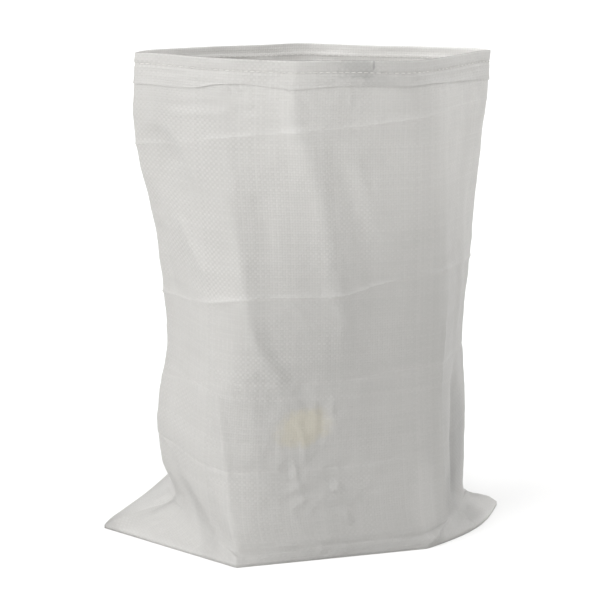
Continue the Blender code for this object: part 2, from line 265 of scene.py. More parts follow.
# The tube of cloth
def smoothStep(value):
    value = np.clip(value, 0.0, 1.0)
    return value * value * (3 - 2 * value)


def ridgePoints(height):
    heights = np.array([row[0] for row in sackSections])
    points = np.array([row[1] for row in sackSections])
    slopes = np.gradient(points, heights, axis=0)
    low = int(np.clip(np.searchsorted(heights, height) - 1, 0, len(heights) - 2))
    step = heights[low + 1] - heights[low]
    t = np.clip((height - heights[low]) / step, 0.0, 1.0)
    weight = 2 * t**3 - 3 * t**2 + 1
    return (weight * points[low] + (1 - weight) * points[low + 1]
            + (t**3 - 2 * t**2 + t) * step * slopes[low] + (t**3 - t**2) * step * slopes[low + 1])


def alongHalf(corners, count):
    # Equal steps along one half of a section, without its last corner
    lengths = np.linalg.norm(np.diff(corners, axis=0), axis=1)
    travelled = np.concatenate(([0.0], np.cumsum(lengths)))
    stops = np.arange(count) * travelled[-1] / count
    return np.column_stack([np.interp(stops, travelled, corners[:, axis]) for axis in (0, 1)])


def sectionPlan(height, values):
    half = values["columns"] // 2
    ridges = ridgePoints(height)
    return np.vstack((alongHalf(ridges[:5], half), alongHalf(np.vstack((ridges[4:], ridges[:1])), half)))


def baseEnds(values):
    # Where the base's front edge begins and ends, along the seam
    return values["leftFold"] - values["flatWidth"] / 2, values["flatWidth"] / 2 - values["rightFold"]


def earShares(x, values):
    # How far out along the left ear and the right ear
    baseLeft, baseRight = baseEnds(values)
    return (np.clip((baseLeft - x) / values["leftEar"], 0.0, 1.0),
            np.clip((x - baseRight) / values["rightEar"], 0.0, 1.0))


def seamLine(x, values):
    pastLeft, pastRight = earShares(x, values)
    return values["leftSweep"] * pastLeft + values["rightSweep"] * pastRight


def foldOutline(values):
    # Plan of the edge where the cloth turns under, before the ears are swept back,
    # and how far along the cloth each point lies from the nearer side fold
    columns, width = values["columns"], values["flatWidth"]
    around = np.arange(columns) / columns
    fromLeft = width * (1 - np.abs(1 - 2 * around))
    fromRight = width - fromLeft
    side = np.where(around <= 0.5, -1.0, 1.0)
    baseLeft, baseRight = baseEnds(values)
    leftShare = fromLeft / values["leftFold"]
    rightShare = fromRight / values["rightFold"]
    bow = values["rightBow"] * np.sin(pi * np.clip(rightShare, 0.0, 1.0)) * (side < 0) * np.sqrt(0.5)
    alongBase = (fromLeft - values["leftFold"]) / (baseRight - baseLeft)
    x = np.where(leftShare < 1, baseLeft - values["leftEar"] * (1 - leftShare),
                 np.where(rightShare < 1, baseRight + values["rightEar"] * (1 - rightShare) + bow,
                          baseLeft + fromLeft - values["leftFold"]))
    y = np.where(leftShare < 1, fromLeft,
                 np.where(rightShare < 1, fromRight + bow,
                          values["leftFold"] + (values["rightFold"] - values["leftFold"]) * alongBase))
    return np.column_stack((x, side * y))


def underside(plan, values):
    # How far each point of the edge or the base is off the floor
    x, y = plan[..., 0], plan[..., 1]
    baseLeft, baseRight = baseEnds(values)
    start = values["liftStart"]
    towardsBack = np.clip((y - start) / (values["leftFold"] - start), 0.0, 1.0)
    towardsLeft = np.clip((-x - start) / (-baseLeft - start), 0.0, 1.0)
    towardsRight = np.clip((x - start) / (baseRight - start), 0.0, 1.0)
    lift = values["leftCornerLift"] * towardsLeft + values["rightCornerLift"] * towardsRight
    pastLeft, pastRight = earShares(x, values)
    fromEdge = values["leftFold"] * (1 - pastLeft) * (1 - pastRight) - np.abs(y)
    recess = values["recess"] * np.clip((values["recessReach"] - np.abs(y)) / values["recessSlope"], 0.0, 1.0)
    recess = recess * np.clip(fromEdge / values["recessEdge"], values["recessLeast"], 1.0)
    nearTip = np.clip(y / values["leftFold"], 0.0, 1.0) ** values["leftTipCurve"]
    return recess + lift * (towardsBack * (1 - pastLeft) + nearTip * pastLeft)


def softened(grid, passes, keep):
    # Rounds the ridges along each level turn, less where keep is near 1
    for _ in range(passes):
        middle = (np.roll(grid, 1, axis=1) + np.roll(grid, -1, axis=1)) / 2
        grid = grid + (middle - grid) * (0.5 * (1 - keep))[..., None]
    return grid


def rootBlended(grid, earShare, values):
    # Lets the wall flow into the ears, with no crease along the root
    above, below, passes = values["rootBlend"]
    root = values["looseRows"] - 1
    span = np.arange(root - above, root + below)
    far = np.where(span < root, (root - span) / above, (span - root) / below)
    width, most = values["rootHold"]
    hold = 1 - most * np.exp(-((1 - earShare) * values["leftFold"] / width) ** 2)
    strength, fullFrom = values["rootPull"]
    ears = np.clip(earShare / fullFrom, 0.0, 1.0) * hold
    pull = np.clip(strength * (1 - far), 0.0, 1.0)[:, None] * ears[None, :]
    for _ in range(passes):
        middle = (grid[span - 1] + grid[span + 1]) / 2
        grid[span] += (middle - grid[span]) * 0.5 * pull[..., None]
    return grid


def gridNormals(grid):
    around = np.roll(grid, -1, axis=1) - np.roll(grid, 1, axis=1)
    down = np.gradient(grid, axis=0)
    normals = np.cross(down, around)
    return normals / np.maximum(np.linalg.norm(normals, axis=2), 1e-9)[..., None]


def wallLength(values):
    return values["flatLength"] - values["leftFold"] - values["rootHeight"]


def hemRowDepths(values):
    return np.arange(0.0, values["rimReach"], values["rimStep"])


def clothRows(s, values):
    # How far below the rim each point of the wall lies: close rows in the hem, and then rows that
    # run along the storage creases, so that those are crisp
    folded = np.where(s > values["flatWidth"], 2 * values["flatWidth"] - s, s)
    rows = [np.full(len(s), depth) for depth in hemRowDepths(values)]
    far, near = values["creaseRows"]
    lines = []
    for points, _, _ in storageCreases.values():
        line = smoothLine(points, foldValues["rowSteps"])
        lines.append(np.interp(folded, line[:, 0], line[:, 1]))
    lines.append(np.full(len(s), wallLength(values)))
    for number, (line, count) in enumerate(zip(lines, values["rowsBetween"])):
        last, onCrease = rows[-1], number < len(lines) - 1
        stop = line - far if onCrease else line
        rows += [last + (stop - last) * step / count for step in range(1, count + 1)]
        if onCrease:
            rows += [line - near, line, line + near, line + far]
    return np.array(rows)


def curveBetween(a, b, c, d, share):
    # From b to c along a smooth curve through all four
    return 0.5 * (2 * b + (c - a) * share + (2 * a - 5 * b + 4 * c - d) * share**2
                  + (3 * b - a - 3 * c + d) * share**3)


def curveRead(field, place):
    # A field of rows, read between its rows along smooth curves
    last = len(field) - 1
    low = np.minimum(place.astype(int), last - 1)
    share = (place - low)[..., None]
    columns = np.broadcast_to(np.arange(field.shape[1]), place.shape)
    return curveBetween(*(field[np.clip(low + step, 0, last), columns] for step in (-1, 0, 1, 2)), share)


def layCloth(values):
    # The cloth's points, row by row from the rim down the wall, out over the ears and back to
    # the seam, with how far round the cloth and how far down it each one lies
    columns = values["columns"]
    around = np.arange(columns) / columns
    bottom = sackSections[0][0]
    mouth = values["flatLength"] - values["leftFold"]
    rise, middle, riseReach = values["frontRimRise"]
    rim = (mouth - values["rightRimDrop"] * (1 - np.cos(2 * pi * around)) / 2
           - values["backRimDrop"] * np.clip(-np.sin(2 * pi * around), 0.0, 1.0)
           + rise * np.exp(-((around * 2 * values["flatWidth"] - middle) / riseReach) ** 2))
    drop, dropReach = values["sideRimDrop"]
    fromLeft = values["flatWidth"] * (1 - np.abs(1 - 2 * around))
    fromRight = values["flatWidth"] - fromLeft
    rim -= drop * np.exp(-(np.minimum(fromLeft, fromRight) / dropReach) ** 2)
    rootPlan = sectionPlan(bottom, values)
    rootReach = values["rootRiseReach"]
    root = (underside(rootPlan, values) + values["rootHeight"]
            + values["leftRootRise"] * np.exp(-(fromLeft / rootReach) ** 2)
            + values["rightRootRise"] * np.exp(-(fromRight / rootReach) ** 2))
    rows, down = [], []
    depths = np.linspace(0.0, wallLength(values), values["looseRows"])
    for depth in depths:
        share = 1 - depth / depths[-1]
        plan = sectionPlan(bottom + (mouth - bottom) * share, values)
        rows.append(np.column_stack((plan, root + (rim - root) * share)))
        down.append(np.full(columns, depth))
    wallEnd = down[-1]
    outline = foldOutline(values)
    edge = np.column_stack((outline[:, 0], outline[:, 1] + seamLine(outline[:, 0], values),
                            underside(outline, values)))
    lip = edge + np.array((0.0, 0.0, values["earLip"]))
    topLength = np.linalg.norm(lip - rows[-1], axis=1)
    wall = rows[-1]
    earShare = np.maximum(1 - fromLeft / values["leftFold"], 1 - fromRight / values["rightFold"])
    puff = values["earPuff"] * np.clip(earShare / values["puffFrom"], 0.0, 1.0)
    for share in np.linspace(0.0, 1.0, values["earRows"] + 1)[1:]:
        row = wall + (lip - wall) * share
        row[:, 2] += 4 * share * (1 - share) * puff
        rows.append(row)
        down.append(wallEnd + topLength * share)
    rows.append(edge)
    down.append(down[-1] + values["earLip"])
    mirror = (columns - np.arange(columns)) % columns
    for share in np.linspace(0.0, 1.0, values["baseRows"] + 1)[1:]:
        flat = outline + (outline[mirror] - outline) * share / 2
        place = np.column_stack((flat[:, 0], flat[:, 1] + seamLine(flat[:, 0], values),
                                 underside(flat, values)))
        rows.append(place)
        down.append(down[-1] + np.abs(outline[:, 1] - outline[mirror, 1]) / 2 / values["baseRows"])
    grid = rootBlended(np.array(rows), earShare, values)
    s = np.broadcast_to(around * 2 * values["flatWidth"], grid.shape[:2]).copy()
    return grid, s, np.array(down)


# How the creases and folds are laid on the cloth
foldValues = {
    "rowSteps": 80,              # points along a crease, for the rows and for its height
    "creaseSteps": 40,
    "foldSteps": 30,             # and along a soft fold
    "fadeShare": 0.25,           # of its length, over which a soft fold comes and goes
    "strength": (0.80, 0.25, 1.2),    # of a crease: usual, least and most
    "strengthPatches": (16.0, 5.0),   # to the metre, and how unlike the next crease's they are
    "facing": 0.05,              # the camera sees cloth that faces it by more than this
    "nearPixel": 0.5,            # points nearer to a pixel than this count alike
}


def placeOnCloth(pixel, across, down, seen, s, t):
    # The place on the cloth that the photo shows at a pixel, from the points nearest to it
    girth = 2 * sackValues["flatWidth"]
    far = (across - pixel[0]) ** 2 + (down - pixel[1]) ** 2
    weight = seen / (far + foldValues["nearPixel"]) ** 4
    onward = (s + girth / 4) % girth - girth / 4     # the back's left quarter counts down from 0
    return (weight * onward).sum() / weight.sum(), (weight * t).sum() / weight.sum()


def smoothLine(points, count):
    # A smooth line through points
    points = np.array(points, float)
    padded = np.vstack((2 * points[0] - points[1], points, 2 * points[-1] - points[-2]))
    stops = np.linspace(0, len(points) - 1, count)
    low = np.minimum(stops.astype(int), len(points) - 2)
    return curveBetween(*(padded[low + step] for step in range(4)), (stops - low)[:, None])


def strokeRelief(s, t, line, halfWidth, height, sharp):
    # A ridge or valley along a line on the flat cloth. A soft one fades out at both ends
    girth = 2 * sackValues["flatWidth"]
    best = np.full(s.shape, np.inf)
    where = np.zeros(s.shape)
    steps = len(line) - 1
    for index in range(steps):
        start, run = line[index], line[index + 1] - line[index]
        length = max(float(run @ run), 1e-12)
        beside = (s - start[0] + girth / 2) % girth - girth / 2
        share = np.clip((beside * run[0] + (t - start[1]) * run[1]) / length, 0.0, 1.0)
        far = np.hypot(beside - share * run[0], t - start[1] - share * run[1])
        near = far < best
        best = np.where(near, far, best)
        where = np.where(near, (index + share) / steps, where)
    if sharp:
        return height * np.exp(-best / halfWidth)
    return height * np.exp(-(best / halfWidth) ** 2) * smoothStep(
        np.minimum(where, 1 - where) / foldValues["fadeShare"])


def creaseRelief(s, t, values):
    # The storage creases, stronger here and weaker there
    relief = np.zeros(s.shape)
    width = values["flatWidth"]
    folded = np.where(s > width, 2 * width - s, s)
    usual, least, most = foldValues["strength"]
    patches, apart = foldValues["strengthPatches"]
    for number, (points, halfWidth, height) in enumerate(storageCreases.values()):
        line = smoothLine(points, foldValues["creaseSteps"])
        crease = strokeRelief(folded, t, line, halfWidth / 1000, height / 1000, True)
        near = np.abs(crease) > abs(height) * 1e-6
        strength = np.zeros(s.shape)
        for row, column in zip(*np.nonzero(near)):
            seat = Vector((s[row, column] * patches, number * apart, noiseSlices["crease"]))
            strength[row, column] = np.clip(usual + noise.noise(seat), least, most)
        relief += crease * strength
    return relief


crumpleValues = {
    "broad": (9.0, 0.0022),      # how many to the metre, and how high
    "folds": (22.0, 14.0, 0.0022),    # the same, with how many down the cloth
    "foldsApart": 7.0,           # so that they don't follow the broad swells
    "crinkles": (46.0, 0.0009),
    "onSwells": (0.5, 1.5, 0.2), # the crinkles' least strength, and how much more there is on the swells
    "fine": (120.0, 0.00022),
    "ridgeTop": 0.25,            # folds and crinkles stand out where their noise is nearer to 0 than this
    "radius": 0.16,              # of the round tube on which the noise is read
    "lowPatch": (0.235, 0.500, 0.060, 0.085, 3.2),    # more crinkles low on the front: place, size, how much
}


def crumple(s, t, values):
    # Small random crinkles of stiff cloth
    relief = np.empty(s.shape)
    broadScale, broadHeight = values["broad"]
    foldScale, foldDown, foldHeight = values["folds"]
    crinkleScale, crinkleHeight = values["crinkles"]
    fineScale, fineHeight = values["fine"]
    least, more, fromSwell = values["onSwells"]
    top, apart = values["ridgeTop"], values["foldsApart"]
    placeS, placeT, sizeS, sizeT, extra = values["lowPatch"]
    boost = 1 + extra * np.exp(-((s - placeS) / sizeS) ** 2 - ((t - placeT) / sizeT) ** 2)
    turns = s * 2 * pi / (2 * sackValues["flatWidth"])
    across, along = np.cos(turns) * values["radius"], np.sin(turns) * values["radius"]
    for row in range(s.shape[0]):
        for column in range(s.shape[1]):
            x, y, z = across[row, column], along[row, column], t[row, column]
            seat = Vector((x, y, z))
            broad = noise.noise(seat * broadScale)
            folds = top - abs(noise.noise(Vector((x * foldScale, y * foldScale, z * foldDown + apart))))
            crinkles = top - abs(noise.noise(seat * crinkleScale))
            crinkles *= (least + more * max(0.0, broad + fromSwell)) * boost[row, column]
            fine = noise.noise(seat * fineScale)
            relief[row, column] = (broadHeight * broad + foldHeight * folds
                                   + crinkleHeight * crinkles + fineHeight * fine)
    return relief


def clothMesh(name, verts, faces, corners):
    # A piece with its places on the flat cloth as its UV map
    data = bpy.data.meshes.new(name)
    data.from_pydata(verts, [], faces)
    layer = data.uv_layers.new(name="flatCloth")
    layer.data.foreach_set("uv", np.array(corners, dtype=np.float32).ravel())
    piece = bpy.data.objects.new(name, data)
    bpy.context.collection.objects.link(piece)
    return piece


def meshFromGrid(name, grid, s, t, wear):
    # One closed tube of quads, sewn together along the seam row
    rows, columns = grid.shape[:2]
    number = np.arange(rows * columns).reshape(rows, columns)
    mirror = (columns - np.arange(columns)) % columns
    number[-1] = np.minimum(number[-1], number[-1][mirror])
    faces, corners = [], []
    for row in range(rows - 1):
        for column in range(columns):
            after = (column + 1) % columns
            ring = (number[row, column], number[row + 1, column], number[row + 1, after], number[row, after])
            if len(set(ring)) < 4:
                continue
            faces.append(ring)
            right = s[row, column] + 2 * sackValues["flatWidth"] / columns
            corners += [(s[row, column], t[row, column]), (s[row, column], t[row + 1, column]),
                        (right, t[row + 1, after]), (right, t[row, after])]
    piece = clothMesh(name, grid.reshape(-1, 3).tolist(), faces, corners)
    worn = piece.data.attributes.new("foldWear", "FLOAT", "POINT")
    worn.data.foreach_set("value", wear.ravel().astype(np.float32))
    return piece


def roundedTube(grid, s, t, values):
    # The tube with its ridges rounded, less at the side folds, the corner and the rim
    fade, above = values["keepFade"], values["softAbove"]
    fromSide = np.minimum(s, np.abs(s - values["flatWidth"]))
    fromSide = np.minimum(fromSide, 2 * values["flatWidth"] - s)
    width, most = values["sideKeep"]
    keep = most * np.exp(-(fromSide / width) ** 2)
    width, most = values["cornerKeep"]
    low = np.clip((t - values["cornerKeepDown"]) / fade, 0.0, 1.0)
    keep = np.maximum(keep, most * np.exp(-((s - values["leftFold"]) / width) ** 2) * low)
    width, most = values["rimKeep"]
    high = np.clip((values["rimKeepDown"] - t) / fade, 0.0, 1.0)
    keep = np.maximum(keep, most * np.exp(-((s - values["rimRidge"]) / width) ** 2) * high)
    keep[values["looseRows"]:] = 1.0
    grid = softened(grid, values["cornerSoftening"], keep)
    for place, width, passes, start, stop in values["softRidges"]:
        window = np.exp(-((s - place) / width) ** 4) * (above + (1 - above) * smoothStep((t - start) / fade))
        window *= 1 - smoothStep((t - stop) / fade)
        window[values["looseRows"]:] = 0.0
        grid = softened(grid, passes, 1 - window)
    return grid


def layRows(grid, s, t, values):
    # The wall's points moved up or down to the rows that the creases ask for
    loose = values["looseRows"]
    depths = clothRows(s[0], values)
    wall = curveRead(grid[:loose], depths / wallLength(values) * (loose - 1))
    around = np.broadcast_to(s[0], depths.shape)
    return (np.concatenate((wall, grid[loose:])), np.concatenate((around, s[loose:])),
            np.concatenate((depths, t[loose:])))


def wallCount(grid, values):
    return len(grid) - values["earRows"] - 1 - values["baseRows"]


def hemWrinkles(s, t, values):
    # Fine wrinkles round the hem, fading out below it
    many, close, height = values["hemWrinkle"]
    before, over = values["hemWrinkleEnd"]
    relief = np.zeros(s.shape)
    for row in range(len(hemRowDepths(values))):
        for column in range(s.shape[1]):
            seat = Vector((s[row, column] * many, t[row, column] * close, noiseSlices["hem"]))
            relief[row, column] = height * noise.noise(seat)
    return relief * (1 - smoothStep((t - values["hemHeight"] + before) / over))


def clothRelief(grid, s, t, creases, values):
    # How far each point moves from the plain tube, and which way
    normals = gridNormals(grid)
    topRows = wallCount(grid, values) + values["earRows"]
    across, down = photoPixels(grid[:topRows], shotValues)
    seen = (normals[:topRows] @ viewAxes(shotValues)[0] > foldValues["facing"]).astype(float)
    relief = creases + crumple(s, t, crumpleValues)
    lines = [([placeOnCloth(pixel, across, down, seen, s[:topRows], t[:topRows]) for pixel in pixels],
              halfWidth, height) for pixels, halfWidth, height in frontFolds.values()]
    for places, halfWidth, height in lines + list(hiddenFolds.values()):
        line = smoothLine(places, foldValues["foldSteps"])
        relief += strokeRelief(s, t, line, halfWidth / 1000, height / 1000, False)
    groove = np.exp(-((t - values["stitchDepth"]) / values["stitchGrooveWidth"]) ** 2)
    left, growth = values["calmRim"]
    relief = relief * (left + (1 - left) * smoothStep(t / growth)) - groove * values["stitchGroove"]
    relief += hemWrinkles(s, t, values)
    fadeRows = values["earFade"] * values["earRows"]
    fade = 1 - smoothStep((np.arange(grid.shape[0]) - topRows + fadeRows) / fadeRows)
    return normals * (relief * fade[:, None])[..., None]


def alongColumns(field, depths, wanted):
    # A field of the wall, read at a wanted depth in each column
    place = np.interp(wanted, depths, np.arange(len(depths)))
    low = np.minimum(place.astype(int), len(depths) - 2)
    share = (place - low)[:, None]
    columns = np.arange(len(wanted))
    return field[low, columns] * (1 - share) + field[low + 1, columns] * share


def foldHem(grid, s, t, values):
    # The hem is the same cloth, folded over outwards at the rim, with a wavy free edge
    depths = hemRowDepths(values)
    wall = grid[:len(depths)]
    normals = gridNormals(grid)[:len(depths)]
    around = s[0]
    places, edges = np.array(hemDepths).T
    edge = np.interp(around, places, edges)
    for _ in range(values["hemEven"]):
        edge = (np.roll(edge, 1) + 2 * edge + np.roll(edge, -1)) / 4
    waves, strength, reach = values["hemFlutter"]
    seats = [Vector((cos(turn) * waves, sin(turn) * waves, noiseSlices["hemEdge"]))
             for turn in 2 * pi * around / (2 * values["flatWidth"])]
    flutter = np.array([noise.noise(seat) for seat in seats])
    hemRows, hemDown = [], []
    for row in range(values["hemRows"]):
        depth = edge * (1 - row / values["hemRows"])
        fold = np.sqrt(np.clip(depth / values["hemFold"], 0.0, 1.0))
        groove = np.exp(-((depth - values["stitchDepth"]) / values["stitchGrooveWidth"]) ** 2)
        lift = values["hemLift"] * (1 + strength * flutter) * np.exp(-(edge - depth) / reach)
        out = values["hemGap"] * fold * (1 - values["stitchPull"] * groove) + np.clip(lift, 0.0, None) * fold
        ways = alongColumns(normals, depths, depth)
        hemRows.append(alongColumns(wall, depths, depth) + ways * out[:, None])
        hemDown.append(-depth)
    hem = np.array(hemRows)
    return (np.concatenate((hem, grid)), np.concatenate((s[:len(hem)], s)),
            np.concatenate((np.array(hemDown), t)))


def stitchRing(grid, values, out):
    # A line round the mouth at the depth of the stitches, moved outwards, and the way out
    depths = hemRowDepths(values)
    wall = grid[:len(depths)]
    normals = gridNormals(grid)[:len(depths)]
    depth = np.full(grid.shape[1], values["stitchDepth"])
    ways = alongColumns(normals, depths, depth)
    return alongColumns(wall, depths, depth) + ways * out, ways


def takeOnly(piece):
    # Nothing else is selected, and this piece is the active one
    bpy.ops.object.select_all(action="DESELECT")
    piece.select_set(True)
    bpy.context.view_layer.objects.active = piece


def makeSack(values):
    grid, s, t = layCloth(values)
    grid = roundedTube(grid, s, t, values)
    grid, s, t = layRows(grid, s, t, values)
    creases = creaseRelief(s, t, values)
    grid = grid + clothRelief(grid, s, t, creases, values)
    grid[..., 2] = np.maximum(grid[..., 2], 0.0)
    hemmed, hemS, hemT = foldHem(grid, s, t, values)
    plainRows = np.zeros((len(hemmed) - len(grid), grid.shape[1]))
    wear = np.concatenate((plainRows, np.abs(creases) * 1000))
    sack = meshFromGrid("sackCloth", hemmed, hemS, hemT, wear)
    takeOnly(sack)
    bpy.ops.object.mode_set(mode="EDIT")
    bpy.ops.mesh.select_all(action="SELECT")
    bpy.ops.mesh.delete_loose(use_verts=True, use_edges=True, use_faces=False)
    bpy.ops.object.mode_set(mode="OBJECT")
    bpy.ops.object.shade_smooth()
    return sack, grid


# The sewn bottom edge lies folded flat under the base, towards the front
stripValues = {
    "front": -0.024,             # from the seam line
    "back": 0.004,
    "under": 0.0012,
    "over": 0.0028,
    "leftShare": 0.72,           # of each ear's length
    "rightShare": 0.76,
    "steps": 150,
    "across": 9,
    "waver": (30.0, 0.0008),     # how many to the metre, and how far
    "foldOut": 0.0005,           # its folded edge is rounded by this
    "foldRun": 0.0009,           # and this much cloth goes from the flat to the edge's middle
    "sharpest": 50.0,            # degrees that are still shaded smooth
}


def stripEnds(values, cloth):
    baseLeft, baseRight = baseEnds(cloth)
    return (baseLeft - values["leftShare"] * cloth["leftEar"],
            baseRight + values["rightShare"] * cloth["rightEar"])


def makeStrip(values, cloth):
    stations = np.linspace(*stripEnds(values, cloth), values["steps"])
    shares = np.linspace(0.0, 1.0, values["across"])
    middle = (values["under"] + values["over"]) / 2
    waves, sway = values["waver"]
    verts, faces, corners = [], [], []
    for x in stations:
        seam = float(seamLine(x, cloth))
        waver = sway * noise.noise(Vector((x * waves, noiseSlices["strip"], 0.0)))
        front, back = seam + values["front"] + waver, seam + values["back"]
        ring = [(x, back + (front - back) * share, values["under"]) for share in shares]
        ring.append((x, front - values["foldOut"], middle))
        ring += [(x, front + (back - front) * share, values["over"]) for share in shares]
        verts += ring
    count = 2 * values["across"] + 1
    width, foldRun = values["back"] - values["front"], values["foldRun"]
    run = np.concatenate((shares * width, [width + foldRun], width + 2 * foldRun + shares * width))
    for step in range(values["steps"] - 1):
        for place in range(count):
            after = (place + 1) % count
            near, far = step * count, (step + 1) * count
            faces.append((near + place, near + after, far + after, far + place))
            runAfter = run[after] if after else run[-1] + values["over"] - values["under"]
            corners += [(stations[step], run[place]), (stations[step], runAfter),
                        (stations[step + 1], runAfter), (stations[step + 1], run[place])]
    for offset, turn in ((0, -1), ((values["steps"] - 1) * count, 1)):
        face = [offset + place for place in range(count)][::turn]
        faces.append(face)
        corners += [(verts[index][0], verts[index][1]) for index in face]
    strip = clothMesh("bottomStrip", verts, faces, corners)
    takeOnly(strip)
    bpy.ops.object.mode_set(mode="EDIT")
    bpy.ops.mesh.select_all(action="SELECT")
    bpy.ops.mesh.normals_make_consistent(inside=False)
    bpy.ops.object.mode_set(mode="OBJECT")
    bpy.ops.object.shade_smooth_by_angle(angle=radians(values["sharpest"]))
    return strip


# One stitch is modelled, and the others are its copies
stitchValues = {
    "length": 0.0040,            # the straight part and the ends' steps are shares of this
    "thickness": 0.0011,
    "sides": 8,
    "straight": 0.7,
    "endFacing": 0.9,            # a face is at the end if it faces that way by more than this
    "ends": ((0.15, 0.15, 0.92), (0.12, 0.45, 0.75), (0.06, 0.40, 0.45)),    # each step out, down and thinner
    "pitch": 0.0075,
    "reads": (0.2, 0.5, 0.8),    # where the line is read for each stitch, in shares of the pitch
    "dip": 0.0005,               # its ends go down into the cloth
    "outerLift": (0.4, 0.45),    # out from the wall, in shares of the hem's gap and of its own thickness
    "innerLift": 0.3,            # the same inside, in shares of the thread's own thickness there
    "innerSize": 0.5,            # the looper thread inside is finer
    "bottomThickness": 0.0006,
    "bottomHeight": 0.0006,      # of the bottom thread's middle over the floor
    "bottomMargin": 0.003,       # from the strip's ends
    "bottomSteps": 80,
}


def selectEnd(piece, side, facing):
    bpy.ops.object.mode_set(mode="EDIT")
    bpy.ops.mesh.select_mode(type="FACE")
    bpy.ops.mesh.select_all(action="DESELECT")
    bpy.ops.object.mode_set(mode="OBJECT")
    for face in piece.data.polygons:
        face.select = face.normal.x * side > facing
    bpy.ops.object.mode_set(mode="EDIT")


def makeStitch(values):
    bpy.ops.object.select_all(action="DESELECT")
    bpy.ops.mesh.primitive_cylinder_add(vertices=values["sides"], radius=values["thickness"] / 2,
                                        depth=values["length"] * values["straight"],
                                        rotation=(0.0, pi / 2, 0.0))
    stitch = bpy.context.object
    stitch.name = "stitch"
    bpy.ops.object.transform_apply(location=True, rotation=True, scale=True)
    for side in (-1, 1):
        selectEnd(stitch, side, values["endFacing"])
        for reach, drop, size in values["ends"]:
            move = (side * values["length"] * reach, 0.0, -values["dip"] * drop)
            bpy.ops.mesh.extrude_region_move(TRANSFORM_OT_translate={"value": move})
            bpy.ops.transform.resize(value=(1.0, size, size))
        bpy.ops.object.mode_set(mode="OBJECT")
    bpy.ops.object.shade_smooth()
    return stitch


def layStitch(stitch, place, along, up, scale):
    # A copy of the stitch with its own mesh, lying along the cloth
    copy = stitch.copy()
    copy.data = stitch.data.copy()
    bpy.context.collection.objects.link(copy)
    along, up = Vector(along).normalized(), Vector(up).normalized()
    side = up.cross(along).normalized()
    up = along.cross(side)
    turn = Matrix((along, side, up)).transposed().to_4x4()
    size = Matrix.Diagonal((1.0, scale, scale, 1.0))
    copy.data.transform(Matrix.Translation(Vector(place)) @ turn @ size)
    return copy


def joinPieces(pieces, name):
    bpy.ops.object.select_all(action="DESELECT")
    for piece in pieces:
        piece.select_set(True)
    bpy.context.view_layer.objects.active = pieces[0]
    bpy.ops.object.join()
    joined = bpy.context.object
    joined.name = name
    joined.data.name = name
    return joined


def sewLine(stitch, line, ways, closed, scale, values):
    # Stitches at equal steps along a line
    if closed:
        line, ways = np.vstack((line, line[:1])), np.vstack((ways, ways[:1]))
    travelled = np.concatenate(([0.0], np.cumsum(np.linalg.norm(np.diff(line, axis=0), axis=1))))
    count = int(round(travelled[-1] / values["pitch"]))
    step = travelled[-1] / count
    laid = []
    for number in range(count):
        stops = (number + np.array(values["reads"])) * step
        near, place, far = (np.array([np.interp(stop, travelled, line[:, axis]) for axis in range(3)])
                            for stop in stops)
        way = np.array([np.interp(stops[1], travelled, ways[:, axis]) for axis in range(3)])
        laid.append(layStitch(stitch, place, far - near, way, scale))
    return laid


def makeMouthStitches(stitch, grid, values, cloth):
    gapShare, threadShare = values["outerLift"]
    outside = cloth["hemGap"] * gapShare + values["thickness"] * threadShare
    outer, ways = stitchRing(grid, cloth, outside)
    inner, _ = stitchRing(grid, cloth, -values["thickness"] * values["innerSize"] * values["innerLift"])
    laid = sewLine(stitch, outer, ways, True, 1.0, values)
    laid += sewLine(stitch, inner, -ways, True, values["innerSize"], values)
    return joinPieces(laid, "mouthStitches")


def makeBottomStitches(stitch, values, cloth):
    start, end = stripEnds(stripValues, cloth)
    margin = values["bottomMargin"]
    stations = np.linspace(start + margin, end - margin, values["bottomSteps"])
    line = np.column_stack((stations, seamLine(stations, cloth),
                            np.full(len(stations), values["bottomHeight"])))
    ways = np.tile((0.0, 0.0, -1.0), (len(line), 1))
    scale = values["bottomThickness"] / values["thickness"]
    return joinPieces(sewLine(stitch, line, ways, False, scale, values), "bottomStitches")


# Materials
def mathNode(tree, operation, first, second=None):
    node = tree.nodes.new("ShaderNodeMath")
    node.operation = operation
    for socket, value in zip(node.inputs, (first, second)):
        if value is None:
            continue
        if isinstance(value, (int, float)):
            socket.default_value = value
        else:
            tree.links.new(value, socket)
    return node.outputs[0]


def noiseNode(tree, vector, scale, detail, roughness=0.5):
    node = tree.nodes.new("ShaderNodeTexNoise")
    node.inputs["Scale"].default_value = scale
    node.inputs["Detail"].default_value = detail
    node.inputs["Roughness"].default_value = roughness
    tree.links.new(vector, node.inputs["Vector"])
    return node.outputs["Fac"]


def blendColours(tree, factor, first, second):
    node = tree.nodes.new("ShaderNodeMix")
    node.data_type = "RGBA"
    for socket, value in ((node.inputs["Factor"], factor), (node.inputs[6], first), (node.inputs[7], second)):
        if isinstance(value, tuple):
            socket.default_value = (*value, 1.0)
        else:
            tree.links.new(value, socket)
    return node.outputs[2]


def chooseNode(tree, factor, first, second):
    node = tree.nodes.new("ShaderNodeMix")
    node.data_type = "FLOAT"
    for socket, source in (("Factor", factor), (2, first), (3, second)):
        tree.links.new(source, node.inputs[socket])
    return node.outputs[0]


def fadeNode(tree, source, start, stop, low, high, smooth=True):
    # From low where the source is at start to high where it is at stop
    node = tree.nodes.new("ShaderNodeMapRange")
    if smooth:
        node.interpolation_type = "SMOOTHSTEP"
    for socket, value in zip(("From Min", "From Max", "To Min", "To Max"), (start, stop, low, high)):
        node.inputs[socket].default_value = value
    tree.links.new(source, node.inputs["Value"])
    return node.outputs["Result"]


